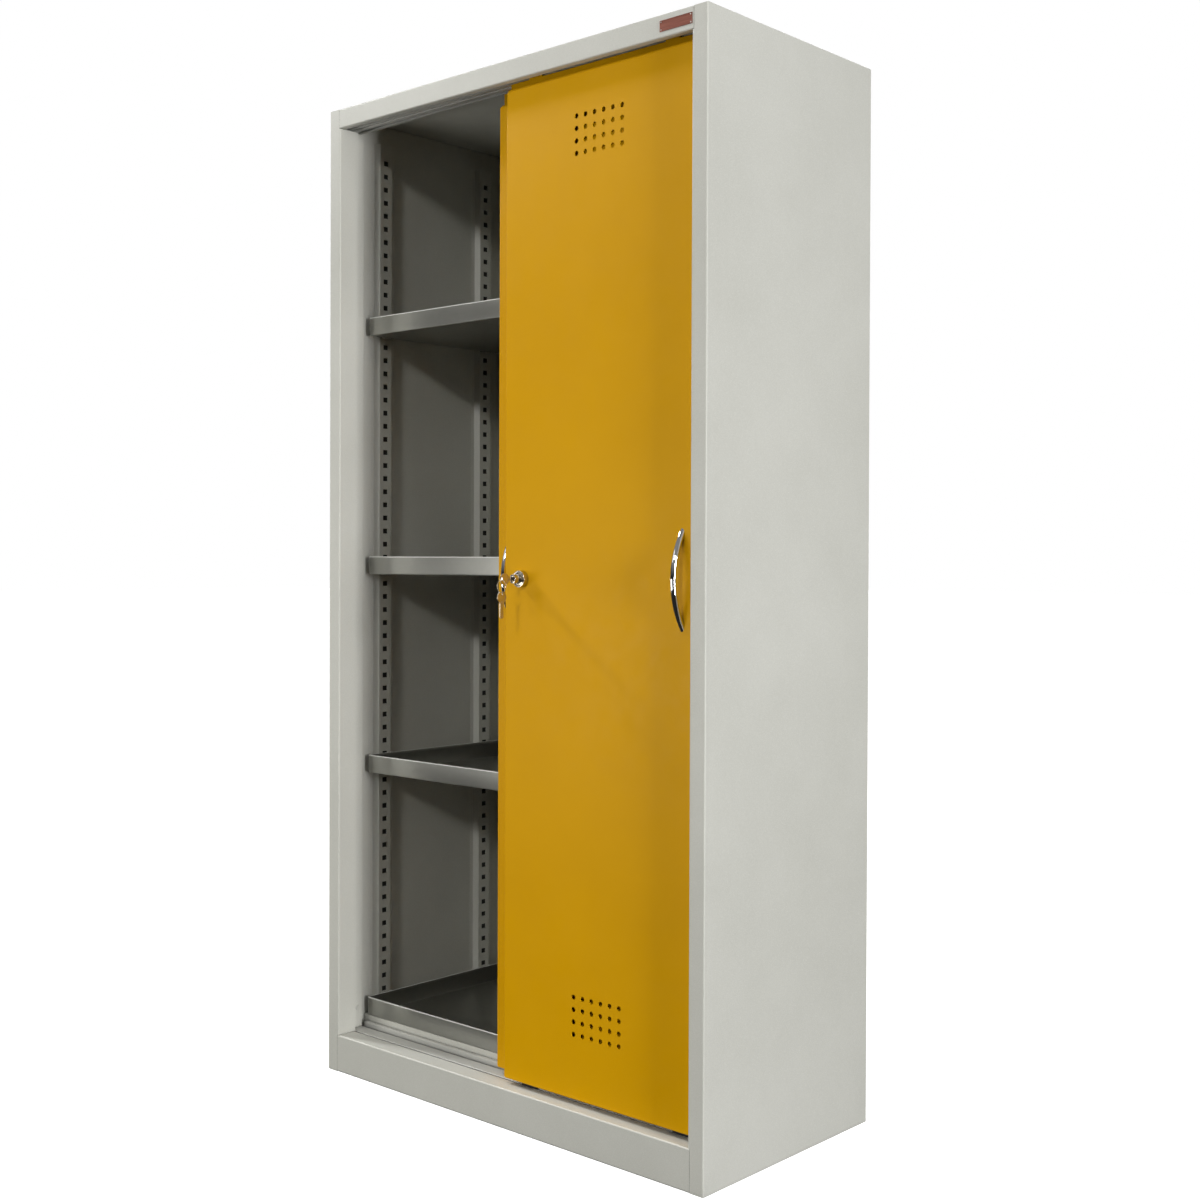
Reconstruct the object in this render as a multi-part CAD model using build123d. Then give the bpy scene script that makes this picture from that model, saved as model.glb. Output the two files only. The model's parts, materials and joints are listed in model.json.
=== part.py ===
from build123d import *
import math
import os

# Flammable storage cabinet with two sliding doors.
# Millimetres, +Z up, front towards -Y, origin at the centre of the base.
# Depths are counted from the front face: d = 0 is the front, d = DEPTH the back.

os.makedirs("parts", exist_ok=True)

# ---- overall sizes -------------------------------------------------------
WIDTH = 925.0
DEPTH = 435.0
HEIGHT = 1800.0
HALF = WIDTH / 2
FRONT = -DEPTH / 2

# ---- carcass sheet -------------------------------------------------------
SHEET = 1.2
BEND = 2.4
STILE_INNER = 431.5
STILE_SEAM = 435.2
SEAM_GAP = 0.6
STILE_RETURN = 39.0
BACK_FLANGE = 22.0
PLINTH_TOP = 68.0
HEADER_BOTTOM = 1764.5
HEADER_LIP = 12.0
FLOOR_TOP = 87.0
FLOOR_FRONT = 82.0
JAMB_X = 450.0
JAMB_FRONT = 40.6
JAMB_BACK = 69.6

# ---- sliding gear --------------------------------------------------------
SLOT_FRONT = (36.6, 40.2)
SLOT_REAR = (67.0, 73.5)
RAIL_TOP = 75.5
TRACK_LOW = 1772.0
TRACK_HIGH = 1797.6
TRACK_WIDE = 26.0
TRACK_SLOT = 8.0
WHEEL_R = 10.0
WHEEL_GAP = 0.3
AXLE_R = 2.5
AXLE_PLAY = 0.05
HANGER_INSET = 4.0

# ---- doors ---------------------------------------------------------------
DOOR_SKIN = 1.0
DOOR_THICK = 18.0
DOOR_BOTTOM = 77.5
DOOR_ROUND = 2.6
TRAVEL = 398.0
FRONT_DOOR = {"x0": 0.0, "x1": 430.0, "d": 20.0, "top": 1755.5}
REAR_DOOR = {"x0": -50.0, "x1": 448.0, "d": 50.0, "top": 1746.0}
FRONT_HANGERS = (62.0, 368.0)
REAR_HANGERS = (-23.0, 421.0)
VENT_PITCH = 20.3
VENT_R = 4.3
VENT_SHIFT = 2.5
VENT_COLUMNS = 6
VENT_ROWS = ((215.0, 4), (1654.5, 4))
HANDLE_Z = 931.0
HANDLE_SPAN = 141.0
HANDLE_ARC = 135.5
HANDLE_REACH = 20.0
HANDLE_R = 5.0
FRONT_HANDLE_X = 398.0
REAR_HANDLE_X = -14.0

# ---- lock ----------------------------------------------------------------
LOCK_X = 43.0
LOCK_Z = 929.0
LOCK_R = 14.0
PLUNGER_R = 7.5
PIN_R = 4.0
PLUG_R = 5.0
RUNNING = 0.05
KEY_THICK = 2.0
RING_D = -27.5
RING_R = 10.5
RING_WIRE = 0.9

# ---- shelf trays ---------------------------------------------------------
HOLE_PITCH = 25.33
HOLE_TOP = 1724.6
HOLE_COUNT = 64
HOLE_WIDE = 10.6
HOLE_TALL = 9.4
UPRIGHT_X = 450.0
UPRIGHTS = (122.0, 379.0)
UPRIGHT_FLAT = 28.0
TRAY_HALF = 448.6
TRAY_FRONT = 80.0
TRAY_BACK = 428.0
TRAY_HIGH = 34.0
TRAY_SHEET = 1.5
TRAY_HOLES = (14, 32, 47)
TRAY_OVER_HOLE = 18.0
CLIP_SHEET = 1.2
CLIP_WIDE = 20.0


def save(name, shape):
    """Write one node; a list of solids is written as a group."""
    if isinstance(shape, (list, tuple)):
        shape = Compound(children=list(shape))
    export_step(shape, f"parts/{name}.step")
    print(name, "solids", len(shape.solids()))


def block(x0, x1, d0, d1, z0, z1):
    """A box between two x, two depths and two heights."""
    size = (x1 - x0, d1 - d0, z1 - z0)
    middle = ((x0 + x1) / 2, FRONT + (d0 + d1) / 2, (z0 + z1) / 2)
    return Pos(*middle) * Box(*size)


def rod(x, d0, d1, z, r):
    """A round bar along the depth."""
    return Pos(x, FRONT + (d0 + d1) / 2, z) * Rot(90, 0, 0) * Cylinder(r, d1 - d0)


def folded(points, thick=SHEET, side=1, bend=BEND):
    """The section of a folded sheet: a path of square turns, thickened to one side."""
    legs = []
    for a, b in zip(points, points[1:]):
        run = math.dist(a, b)
        legs.append(((b[0] - a[0]) / run, (b[1] - a[1]) / run))
    normals = [(-side * v[1] * thick, side * v[0] * thick) for v in legs]
    inner = []
    for i, (a, b) in enumerate(points):
        before = normals[i - 1] if i else (0, 0)
        after = normals[i] if i < len(normals) else (0, 0)
        inner.append((a + before[0] + after[0], b + before[1] + after[1]))
    outline = Polyline(*points, *reversed(inner), close=True)
    section = make_face(outline)
    for i in range(1, len(points) - 1):
        turn = legs[i - 1][0] * legs[i][1] - legs[i - 1][1] * legs[i][0]
        outside = points[i] if turn * side > 0 else inner[i]
        inside = inner[i] if turn * side > 0 else points[i]
        for spot, radius in ((outside, bend), (inside, bend - thick)):
            if radius < 0.1:
                continue
            corner = section.vertices().sort_by_distance(Vector(*spot))[0]
            section = fillet(corner, radius)
    return section


def along_x(section, x0, x1):
    """Stretch a (depth, height) section along x."""
    plane = Plane(origin=(x0, FRONT, 0), x_dir=(0, 1, 0), z_dir=(1, 0, 0))
    return extrude(plane * section, x1 - x0)


def along_z(section, z0, z1):
    """Stretch an (x, depth) section upwards."""
    return extrude(Plane(origin=(0, FRONT, z0)) * section, z1 - z0)


def mirrored(shape):
    return mirror(shape, about=Plane.YZ)


def hole_height(n):
    return HOLE_TOP - HOLE_PITCH * n


# ---- carcass -------------------------------------------------------------
def side_panel():
    back = [(HALF - BACK_FLANGE, DEPTH), (HALF, DEPTH), (HALF, 0)]
    tall = folded(back + [(STILE_INNER, 0), (STILE_INNER, STILE_RETURN)], side=-1)
    ends = folded(back + [(STILE_SEAM, 0)], side=-1)
    wall = along_z(tall, PLINTH_TOP + 0.3, HEADER_BOTTOM - 0.3)
    wall += along_z(ends, 0, PLINTH_TOP + 0.3)
    wall += along_z(ends, HEADER_BOTTOM - 0.3, HEIGHT)
    return wall.clean()


side_right = side_panel()
save("side_panel_right", side_right)
save("side_panel_left", mirrored(side_right))

inner = HALF - SHEET - 0.1
back_half = inner - 1.6
back_d = DEPTH - 2 * SHEET - 0.1
save("back_panel", block(-back_half, back_half, back_d, back_d + SHEET, 1.5, HEIGHT - SHEET - 0.3))

roof = block(-inner, inner, 8, DEPTH - SHEET - 1.6, HEIGHT - SHEET, HEIGHT)
fascia_path = [(20, HEIGHT), (0, HEIGHT), (0, HEADER_BOTTOM), (HEADER_LIP, HEADER_BOTTOM)]
fascia = along_x(folded(fascia_path, side=1), -STILE_SEAM + SEAM_GAP, STILE_SEAM - SEAM_GAP)
corners = block(-inner + 1.2, inner - 1.2, SHEET + 0.1, 9, HEIGHT - SHEET, HEIGHT)
save("roof_with_fascia", roof + corners + fascia)

plinth_path = [(20, 0), (0, 0), (0, PLINTH_TOP), (SLOT_FRONT[0], PLINTH_TOP), (SLOT_FRONT[0], PLINTH_TOP - 12)]
plinth = along_x(folded(plinth_path, side=-1), -STILE_SEAM + SEAM_GAP, STILE_SEAM - SEAM_GAP)
save("plinth", plinth)

rail_path = [
    (SLOT_FRONT[1], PLINTH_TOP - 12),
    (SLOT_FRONT[1], PLINTH_TOP),
    (SLOT_REAR[0], PLINTH_TOP),
    (SLOT_REAR[0], PLINTH_TOP - 11),
    (SLOT_REAR[1], PLINTH_TOP - 11),
    (SLOT_REAR[1], RAIL_TOP),
    (FLOOR_FRONT - 0.6, RAIL_TOP),
    (FLOOR_FRONT - 0.6, PLINTH_TOP - 4),
]
rail = along_x(folded(rail_path, side=-1, bend=1.6), -JAMB_X + 0.6, JAMB_X - 0.6)
save("lower_guide_rail", rail)

floor_path = [(FLOOR_FRONT, 50), (FLOOR_FRONT, FLOOR_TOP), (DEPTH - 2 * SHEET - 0.4, FLOOR_TOP)]
save("floor_panel", along_x(folded(floor_path, side=-1), -inner, inner))

ring_out = block(-inner, inner, 24, DEPTH - 2 * SHEET - 0.4, 0, 48)
ring_well = block(-inner + 1.5, inner - 1.5, 25.5, DEPTH - 2 * SHEET - 1.9, 1.5, 60)
ring_hole = block(-inner + 30, inner - 30, 54, DEPTH - 32, -10, 60)
save("base_frame", ring_out - ring_well - ring_hole)

jamb_path = [
    (HALF - SHEET - 0.2, JAMB_BACK - 24),
    (HALF - SHEET - 0.2, JAMB_BACK),
    (JAMB_X, JAMB_BACK),
    (JAMB_X, JAMB_FRONT),
]
rivet_low = (JAMB_BACK + JAMB_FRONT) / 2 + 3.5
jamb = along_z(folded(jamb_path, side=1, bend=1.8), PLINTH_TOP + 0.4, HEADER_BOTTOM - 4)
jamb -= Pos(JAMB_X, FRONT + rivet_low, 104) * Rot(0, 90, 0) * Cylinder(2.1, 20)
save("jamb_right", jamb)
save("jamb_left", mirrored(jamb))

rivet = Pos(JAMB_X + 3, FRONT + rivet_low, 104) * Rot(0, 90, 0) * Cylinder(2.0, 8)
head = Pos(JAMB_X - 0.7, FRONT + rivet_low, 104) * Rot(0, 90, 0) * Cylinder(4.6, 1.3)
head = chamfer(head.edges().group_by(Axis.X)[0], 0.6)
jamb_rivet = rivet + head
save("jamb_rivets", [jamb_rivet, mirrored(jamb_rivet)])


def upright(depth):
    """A hat-shaped post with a ladder of square slots."""
    flat = UPRIGHT_FLAT / 2
    wall = HALF - SHEET - 0.1
    face = UPRIGHT_X
    outer = [(wall, depth - 28), (wall - 1.5, depth - 21), (face, depth - flat), (face, depth + flat)]
    outer += [(wall - 1.5, depth + 21), (wall, depth + 28)]
    inner_line = [(wall, depth + 21.6), (face + 1.5, depth + flat - 0.8), (face + 1.5, depth - flat + 0.8)]
    inner_line += [(wall, depth - 21.6)]
    low = FLOOR_TOP + 0.2
    post = along_z(make_face(Polyline(*outer, *inner_line, close=True)), low, 1760)
    punch = Pos(face, FRONT + depth, 0) * Box(10, HOLE_WIDE, HOLE_TALL)
    return post - [Pos(0, 0, hole_height(n)) * punch for n in range(HOLE_COUNT)]


for place, depth in zip(("front", "rear"), UPRIGHTS):
    post = upright(depth)
    save(f"upright_{place}_right", post)
    save(f"upright_{place}_left", mirrored(post))


def track(middle):
    """A hanging C-channel; the wheels run on its two lower lips."""
    half = TRACK_WIDE / 2
    gap = TRACK_SLOT / 2
    path = [
        (middle - gap, TRACK_LOW),
        (middle - half, TRACK_LOW),
        (middle - half, TRACK_HIGH),
        (middle + half, TRACK_HIGH),
        (middle + half, TRACK_LOW),
        (middle + gap, TRACK_LOW),
    ]
    return along_x(folded(path, side=-1, bend=1.8), -inner + 1, inner - 1)


for door, place in ((FRONT_DOOR, "front"), (REAR_DOOR, "rear")):
    save(f"upper_track_{place}", track(door["d"] + DOOR_THICK / 2))

# ---- nameplate -----------------------------------------------------------
plate = block(366, 432, -0.8, -0.05, 1773.5, 1790.5)
plate_pins = []
for x in (369, 429):
    for z in (1776, 1788):
        plate -= rod(x, -2, 2, z, 1.05)
        plate_pins.append(rod(x, -1.1, -0.05, z, 1.0))
save("nameplate", plate)
save("nameplate_rivets", plate_pins)


# ---- shelf trays ---------------------------------------------------------
def tray(low):
    """A folded tray with upturned walls on all four sides."""
    out = block(-TRAY_HALF, TRAY_HALF, TRAY_FRONT, TRAY_BACK, low, low + TRAY_HIGH)
    out = fillet(out.edges().filter_by(Axis.Z), 5)
    out = fillet(out.faces().sort_by(Axis.Z)[0].edges(), 2.4)
    t = TRAY_SHEET
    well = block(-TRAY_HALF + t, TRAY_HALF - t, TRAY_FRONT + t, TRAY_BACK - t, low + t, low + 60)
    well = fillet(well.edges().filter_by(Axis.Z), 5 - t)
    return out - well


def clip(depth, low):
    """A small angle: a ledge under the tray, and a blade behind its wall hooked in a slot."""
    slot = low - TRAY_OVER_HOLE + HOLE_PITCH
    bottom = low - CLIP_SHEET - 0.1
    near, far = depth - CLIP_WIDE / 2, depth + CLIP_WIDE / 2
    back = UPRIGHT_X - 0.1
    blade = block(back - CLIP_SHEET, back, near, far, bottom, slot + 4.5)
    ledge = block(back - 14, back, near, far, bottom, bottom + CLIP_SHEET)
    hook = block(back - 1, UPRIGHT_X + 5, depth - 3.5, depth + 3.5, slot - 3.6, slot + 3.6)
    return blade + ledge + hook


names = ("top", "middle", "lower")
for name, hole in zip(names, TRAY_HOLES):
    low = hole_height(hole) + TRAY_OVER_HOLE
    save(f"shelf_tray_{name}", tray(low))
    right = [clip(depth, low) for depth in UPRIGHTS]
    save(f"shelf_clips_{name}", right + [mirrored(c) for c in right])
save("shelf_tray_bottom", tray(FLOOR_TOP + 0.1))


# ---- doors ---------------------------------------------------------------
def door_pan(door, holes):
    """A shallow folded pan with the vent field and the given round holes."""
    x0, x1, d, top = door["x0"], door["x1"], door["d"], door["top"]
    t = DOOR_SKIN
    pan = block(x0, x1, d, d + DOOR_THICK, DOOR_BOTTOM, top)
    pan = fillet(pan.edges().filter_by(Axis.Y), 4)
    pan = fillet(pan.faces().sort_by(Axis.Y)[0].edges(), DOOR_ROUND)
    pan -= block(x0 + t, x1 - t, d + t, d + DOOR_THICK - t, DOOR_BOTTOM + t, top - t)
    pan -= block(x0 + 16, x1 - 16, d + t, d + DOOR_THICK + 5, DOOR_BOTTOM + 16, top - 16)
    middle = (x0 + x1) / 2 + VENT_SHIFT
    punches = []
    for z, rows in VENT_ROWS:
        for column in range(VENT_COLUMNS):
            for row in range(rows):
                x = middle + (column - (VENT_COLUMNS - 1) / 2) * VENT_PITCH
                height = z + (row - (rows - 1) / 2) * VENT_PITCH
                punches.append(rod(x, d - 2, d + 3, height, VENT_R))
    for x, z, r in holes:
        punches.append(rod(x, d - 2, d + 3, z, r))
    return pan - punches


def bow_handle(x, face):
    """A bow of round bar cut flush with the door, with a blind hole up each foot."""
    behind = HANDLE_ARC - HANDLE_REACH
    bar = Pos(0, behind, 0) * Rot(0, 90, 0) * Torus(HANDLE_ARC, HANDLE_R)
    bar &= Pos(0, -20.05, 0) * Box(40, 40, 400)
    for z in (-HANDLE_SPAN / 2, HANDLE_SPAN / 2):
        bar -= Pos(0, 0, z) * Rot(90, 0, 0) * Cylinder(2.05, 8.4)
    return Pos(x, FRONT + face, HANDLE_Z) * bar


def handle_screws(x, face):
    screws = []
    for z in (HANDLE_Z - HANDLE_SPAN / 2, HANDLE_Z + HANDLE_SPAN / 2):
        shank = rod(x, face - 3.8, face + DOOR_SKIN + 0.2, z, 2.0)
        head = rod(x, face + DOOR_SKIN + 0.05, face + DOOR_SKIN + 3, z, 4.2)
        screws.append(shank + head)
    return screws


def hangers(door, centres):
    """A hanger angle along the door's top edge, with a neck up into the track at each roller."""
    axis = TRACK_LOW + SHEET + WHEEL_GAP + WHEEL_R
    top = door["top"]
    middle = door["d"] + DOOR_THICK / 2
    x0, x1 = door["x0"] + HANGER_INSET, door["x1"] - HANGER_INSET
    angle = block(x0, x1, door["d"] + 3, door["d"] + DOOR_THICK - 1, top + 0.05, top + 2)
    angle += block(x0, x1, middle - 1.5, middle + 1.5, top + 1, TRACK_LOW - 3.5)
    for x in centres:
        neck = block(x - 14, x + 14, middle - 1.5, middle + 1.5, TRACK_LOW - 6, axis + 8)
        neck = fillet(neck.edges().filter_by(Axis.Y).group_by(Axis.Z)[-1], 6)
        angle += neck
        angle -= rod(x, middle - 5, middle + 5, axis, AXLE_R + AXLE_PLAY)
    return angle


def roller(door, x):
    """A pair of wheels on one axle, one each side of the hanger."""
    axis = TRACK_LOW + SHEET + WHEEL_GAP + WHEEL_R
    middle = door["d"] + DOOR_THICK / 2
    shape = rod(x, middle - 10.4, middle + 10.4, axis, AXLE_R)
    for near, far in ((-10, -4), (4, 10)):
        wheel = rod(x, middle + near, middle + far, axis, WHEEL_R)
        wheel = chamfer(wheel.edges().filter_by(GeomType.CIRCLE), 0.8)
        shape += wheel
    return shape


def guide_shoes(door, centres):
    """Plastic blades on the door's back flange that run in the slot below."""
    back = door["d"] + DOOR_THICK
    out = []
    for x in centres:
        blade = block(x - 18, x + 18, back + 0.05, back + 1.45, PLINTH_TOP - 7, DOOR_BOTTOM + 15)
        out.append(fillet(blade.edges().filter_by(Axis.Y), 3))
    return out


half_span = HANDLE_SPAN / 2
for door, place, handle_x, marks in (
    (FRONT_DOOR, "front", FRONT_HANDLE_X, FRONT_HANGERS),
    (REAR_DOOR, "rear", REAR_HANDLE_X, REAR_HANGERS),
):
    holes = [(handle_x, HANDLE_Z - half_span, 2.1), (handle_x, HANDLE_Z + half_span, 2.1)]
    if place == "front":
        holes.append((LOCK_X, LOCK_Z, 9.6))
    save(f"{place}_door_panel", door_pan(door, holes))
    save(f"{place}_door_handle", bow_handle(handle_x, door["d"]))
    save(f"{place}_handle_screws", handle_screws(handle_x, door["d"]))
    save(f"{place}_door_hangers", hangers(door, marks))
    save(f"{place}_guide_shoes", guide_shoes(door, (door["x0"] + 45, door["x1"] - 45)))
    for side, x in zip(("left", "right"), marks):
        save(f"{place}_roller_{side}", roller(door, x))

# ---- push lock -----------------------------------------------------------
face = FRONT_DOOR["d"]
rosette = rod(LOCK_X, face - 10, face - 0.05, LOCK_Z, LOCK_R)
rosette = fillet(rosette.edges().filter_by(GeomType.CIRCLE).sort_by(Axis.Y)[0], 1.5)
barrel = rod(LOCK_X, face - 1, face + 15, LOCK_Z, 9.5)
housing = rosette + barrel
housing -= rod(LOCK_X, face - 20, face + 13, LOCK_Z, PLUNGER_R + RUNNING)
housing -= rod(LOCK_X, face, face + 30, LOCK_Z, PIN_R + RUNNING)
save("lock_housing", housing)

hexagon = extrude(RegularPolygon(13.5, 6), 2, both=True)
nut = Pos(LOCK_X, FRONT + face + DOOR_SKIN + 2.05, LOCK_Z) * Rot(90, 0, 0) * hexagon
nut -= rod(LOCK_X, face, face + 10, LOCK_Z, 9.55)
save("lock_nut", nut)

plunger = rod(LOCK_X, -3.5, face + 1, LOCK_Z, PLUNGER_R)
plunger = fillet(plunger.edges().filter_by(GeomType.CIRCLE).sort_by(Axis.Y)[0], 0.8)
plunger += rod(LOCK_X, face, face + 17.5, LOCK_Z, PIN_R)
plunger -= rod(LOCK_X, -10, face - 3, LOCK_Z, PLUG_R + RUNNING)
save("lock_plunger", plunger)

coil_d0 = face + 1.2
coil_d1 = face + 12.8
helix = Helix(pitch=2.6, height=coil_d1 - coil_d0 - 0.8, radius=5.6)
coil = sweep(Plane(origin=helix @ 0, z_dir=helix % 0) * Circle(0.4), path=helix)
spring = Pos(LOCK_X, FRONT + coil_d1 - 0.4, LOCK_Z) * Rot(90, 0, 0) * coil
save("lock_spring", spring)

plug = rod(LOCK_X, -4.0, face - 4, LOCK_Z, PLUG_R)
plug -= block(LOCK_X - 1.05, LOCK_X + 1.05, -10, 14.05, LOCK_Z - 4.05, LOCK_Z + 4.05)
save("key_plug", plug)


def key(d_tip, d_bow, z):
    """A flat key lying along the depth, its blade towards the lock."""
    blade = block(LOCK_X - 1, LOCK_X + 1, d_bow, d_tip, z - 4, z + 4)
    bow = Pos(LOCK_X, FRONT + d_bow, z) * Rot(0, 90, 0) * Cylinder(10, KEY_THICK)
    shape = blade + bow
    shape -= Pos(LOCK_X, FRONT + d_bow - 6.5, z) * Rot(0, 90, 0) * Cylinder(2.5, 10)
    for d in (0.0, 4.0, 8.0):
        shape -= block(LOCK_X - 2, LOCK_X + 2, d_bow + 16 + d, d_bow + 18 + d, z + 2.8, z + 6)
    return shape


save("key", key(14.0, RING_D + 6.5, LOCK_Z))

ring_top = LOCK_Z - 2.5 + RING_WIRE + 0.1
ring_centre = ring_top - RING_R
save("key_ring", Pos(LOCK_X, FRONT + RING_D, ring_centre) * Rot(90, 0, 0) * Torus(RING_R, RING_WIRE))

ring_low = ring_centre - RING_R
spare_hole = ring_low + RING_WIRE + 0.1 - 2.5
bow_z = spare_hole - 6.5
spare_bow = Pos(LOCK_X, FRONT + RING_D, bow_z) * Rot(0, 90, 0) * Cylinder(10, KEY_THICK)
spare = spare_bow + block(LOCK_X - 1, LOCK_X + 1, RING_D - 4, RING_D + 4, bow_z - 35, bow_z)
spare -= Pos(LOCK_X, FRONT + RING_D, spare_hole) * Rot(0, 90, 0) * Cylinder(2.5, 10)
for drop in (18, 23, 28):
    spare -= block(LOCK_X - 2, LOCK_X + 2, RING_D + 2.8, RING_D + 6, bow_z - drop - 2, bow_z - drop)
save("spare_key", spare)

# ---- striker on the rear door --------------------------------------------
striker_x = LOCK_X + TRAVEL
striker_face = REAR_DOOR["d"]
across = (striker_x - 6.5, striker_x + 5.5)
striker = block(*across, striker_face - 9, striker_face - 0.05, LOCK_Z - 14, LOCK_Z + 14)
striker = fillet(striker.edges().filter_by(Axis.Y), 2)
striker -= rod(striker_x, striker_face - 12, striker_face - 1, LOCK_Z, PIN_R + 0.7)
save("lock_striker", striker)
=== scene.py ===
# %% [markdown]
# # Flammable storage cabinet with two sliding doors
# A grey sheet-steel cabinet holds four zinc trays on slotted uprights. Two yellow
# doors hang from rollers and slide past each other. A push lock, two chrome bow
# handles and a pair of keys are the bright parts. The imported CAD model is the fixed
# frame: its folded sheets already have their true bends, so they stay and get a
# finish, and the turned, cast and pressed pieces are modelled here in more detail.

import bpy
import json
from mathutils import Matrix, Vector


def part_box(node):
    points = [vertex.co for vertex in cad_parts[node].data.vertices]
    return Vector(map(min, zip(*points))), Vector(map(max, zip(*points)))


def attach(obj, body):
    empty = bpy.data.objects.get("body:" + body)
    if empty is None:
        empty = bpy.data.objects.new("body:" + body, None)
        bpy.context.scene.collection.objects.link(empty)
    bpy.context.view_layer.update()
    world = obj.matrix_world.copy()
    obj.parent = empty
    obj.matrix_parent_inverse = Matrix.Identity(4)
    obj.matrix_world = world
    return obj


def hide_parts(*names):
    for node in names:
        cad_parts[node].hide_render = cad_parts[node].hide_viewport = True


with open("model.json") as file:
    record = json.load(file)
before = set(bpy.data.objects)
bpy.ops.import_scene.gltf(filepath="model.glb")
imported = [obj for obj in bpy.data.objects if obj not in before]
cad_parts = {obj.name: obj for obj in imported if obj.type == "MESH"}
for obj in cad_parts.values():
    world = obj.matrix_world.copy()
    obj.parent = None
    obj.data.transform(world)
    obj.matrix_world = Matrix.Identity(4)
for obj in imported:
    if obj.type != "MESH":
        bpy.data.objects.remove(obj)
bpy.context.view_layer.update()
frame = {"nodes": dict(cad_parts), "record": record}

import json
import math

import bpy
from mathutils import Matrix, Vector

NODES = frame["nodes"]
MM = 0.001

# %% [markdown]
# ## The camera
# The cabinet is seen from the front right at half its height, with upright lines
# kept upright. A lens held level does that, and the picture is framed by shifting
# the lens a little, as an architectural photographer would.

# %% Camera
HEADING = math.radians(-40.565)
PITCH = math.radians(-0.474)
ROLL = math.radians(0.234)

look = Vector((math.sin(HEADING) * math.cos(PITCH), math.cos(HEADING) * math.cos(PITCH), math.sin(PITCH)))
level = Vector((math.cos(HEADING), -math.sin(HEADING), 0))
upward = level.cross(look)
right = level * math.cos(ROLL) + upward * math.sin(ROLL)
up = upward * math.cos(ROLL) - level * math.sin(ROLL)
turn = Matrix((right, up, -look)).transposed().to_4x4()

lens = bpy.data.cameras.new("camera")
lens.sensor_width = 36
lens.lens = 47.44
lens.shift_x = -0.075
lens.shift_y = -0.0234
lens.clip_start = 0.05
camera = bpy.data.objects.new("camera", lens)
camera.matrix_world = Matrix.Translation((1.9896, -2.0377, 0.9640)) @ turn
bpy.context.scene.collection.objects.link(camera)
bpy.context.scene.camera = camera
bpy.context.scene.view_settings.view_transform = "Standard"
print("camera at", [round(v, 2) for v in camera.location])

# %% [markdown]
# ## Helpers for finishes
# A finish is a small graph of nodes around one Principled shader. Every pattern is
# read from Object coordinates, in metres, so a grain of one millimetre has a scale
# of about a thousand. What is the same all over is set on the shader itself.

# %% Finish helpers
def new_finish(name, metallic=0.0, roughness=0.5, **constants):
    """A new material: its node tree, shader, and Object coordinates."""
    finish = bpy.data.materials.new(name)
    finish.use_nodes = True
    tree = finish.node_tree
    shader = tree.nodes["Principled BSDF"]
    shader.inputs["Metallic"].default_value = metallic
    shader.inputs["Roughness"].default_value = roughness
    for socket, value in constants.items():
        shader.inputs[socket.replace("_", " ")].default_value = value
    place = tree.nodes.new("ShaderNodeTexCoord").outputs["Object"]
    return finish, tree, shader, place


def stretched(tree, place, scale):
    """Object coordinates scaled by a different amount along each axis."""
    mapping = tree.nodes.new("ShaderNodeMapping")
    mapping.inputs["Scale"].default_value = scale
    tree.links.new(place, mapping.inputs["Vector"])
    return mapping.outputs["Vector"]


def noise(tree, place, scale, detail=2.0, rough=0.5):
    texture = tree.nodes.new("ShaderNodeTexNoise")
    texture.inputs["Scale"].default_value = scale
    texture.inputs["Detail"].default_value = detail
    texture.inputs["Roughness"].default_value = rough
    tree.links.new(place, texture.inputs["Vector"])
    return texture.outputs["Fac"]


def span(tree, value, low, high, start=0.3, end=0.7):
    """Map a pattern's middle range onto the range low to high."""
    remap = tree.nodes.new("ShaderNodeMapRange")
    remap.inputs["From Min"].default_value = start
    remap.inputs["From Max"].default_value = end
    remap.inputs["To Min"].default_value = low
    remap.inputs["To Max"].default_value = high
    tree.links.new(value, remap.inputs["Value"])
    return remap.outputs["Result"]


def blended(tree, factor, first, second):
    """Mix two colours; each is a colour or another node's output."""
    mix = tree.nodes.new("ShaderNodeMix")
    mix.data_type = "RGBA"
    for socket, value in ((mix.inputs[0], factor), (mix.inputs[6], first), (mix.inputs[7], second)):
        if isinstance(value, bpy.types.NodeSocket):
            tree.links.new(value, socket)
        else:
            socket.default_value = value
    return mix.outputs[2]


def raised(tree, shader, height, depth, strength=1.0):
    """Give the shader a bump of that real depth, in metres."""
    bump = tree.nodes.new("ShaderNodeBump")
    bump.inputs["Strength"].default_value = strength
    bump.inputs["Distance"].default_value = depth
    tree.links.new(height, bump.inputs["Height"])
    tree.links.new(bump.outputs["Normal"], shader.inputs["Normal"])


def colour(red, green, blue):
    return (red, green, blue, 1.0)


def grey(light, warmth=0.02):
    """A grey with a little less blue in it than red and green."""
    return colour(light, light, light - warmth)


print("finish helpers ready")

# %% [markdown]
# ## Powder coat
# Both paints are baked powder. Close up it is a pebbled skin, with grains of about a
# millimetre, and from further off it is a little cloudy where the coat is thicker.
# On the bends and cut edges the paint is paler: partly wear where the coat is thin,
# partly a painted highlight. A Bevel node finds those edges: where the rounded normal leaves the true one.
# Deep in slots and narrow seams the colour is pulled to near black: painted shade.
# An Ambient Occlusion node with a reach of a centimetre finds them.

# %% Powder coat
def edge_wear_and_highlight(tree, radius):
    """A mask that is 1 on sharp outer edges and 0 on the flat."""
    bevel = tree.nodes.new("ShaderNodeBevel")
    bevel.samples = 4
    bevel.inputs["Radius"].default_value = radius
    geometry = tree.nodes.new("ShaderNodeNewGeometry")
    dot = tree.nodes.new("ShaderNodeVectorMath")
    dot.operation = "DOT_PRODUCT"
    tree.links.new(bevel.outputs["Normal"], dot.inputs[0])
    tree.links.new(geometry.outputs["Normal"], dot.inputs[1])
    return span(tree, dot.outputs["Value"], 1.0, 0.0, 0.72, 0.99)


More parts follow.
